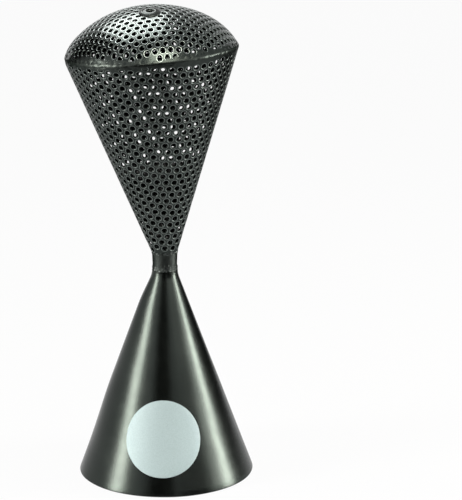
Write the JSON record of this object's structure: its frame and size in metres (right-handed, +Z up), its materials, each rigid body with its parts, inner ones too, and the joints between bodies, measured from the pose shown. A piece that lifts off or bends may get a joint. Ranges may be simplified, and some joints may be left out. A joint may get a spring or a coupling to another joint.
{
  "type": "cone stack shaker",
  "caption": "Hand shaker with an open sheet-steel bell cone, a short neck and a perforated, domed basket of loose steel shot; a threaded socket in the dome takes a second shaker.",
  "frame": {"origin": "centre of the bell's mouth, on the surface that the shaker stands on", "axes": "+Z up along the bell's axis; -Y is the front, where the silver disc is; the basket leans 3.4 degrees towards -X"},
  "size_m": [0.1133, 0.108, 0.2894],
  "materials": {
    "bell_sheet": "satin dark nickel",
    "perforated_sheet": "satin dark nickel on perforated sheet",
    "rim_steel": "ground weld under dark nickel",
    "neck_steel": "satin dark nickel",
    "weld": "rough weld bead under dark nickel",
    "bare_steel": "bare steel",
    "disc_silver": "satin silver",
    "shot_steel": "dark oxidised steel"
  },
  "bodies": {
    "shaker": {"bell_cone": "bell_sheet", "neck_sleeve": "neck_steel", "neck_plug": "bare_steel", "neck_lower_weld": "weld", "neck_upper_weld": "weld", "basket_cone": "perforated_sheet", "basket_seam_weld": "weld", "rim_weld": "rim_steel", "dome_cap": "perforated_sheet", "crown_seat": "neck_steel", "crown_insert": "neck_steel", "badge_disc": "disc_silver"},
    "shot": {"shot": "shot_steel"}
  },
  "joints": [
    {"name": "shot_slide", "type": "slide", "parent": "shaker", "child": "shot", "axis": [-0.0593, 0, 0.9982], "range_m": [0, 0.085]}
  ]
}
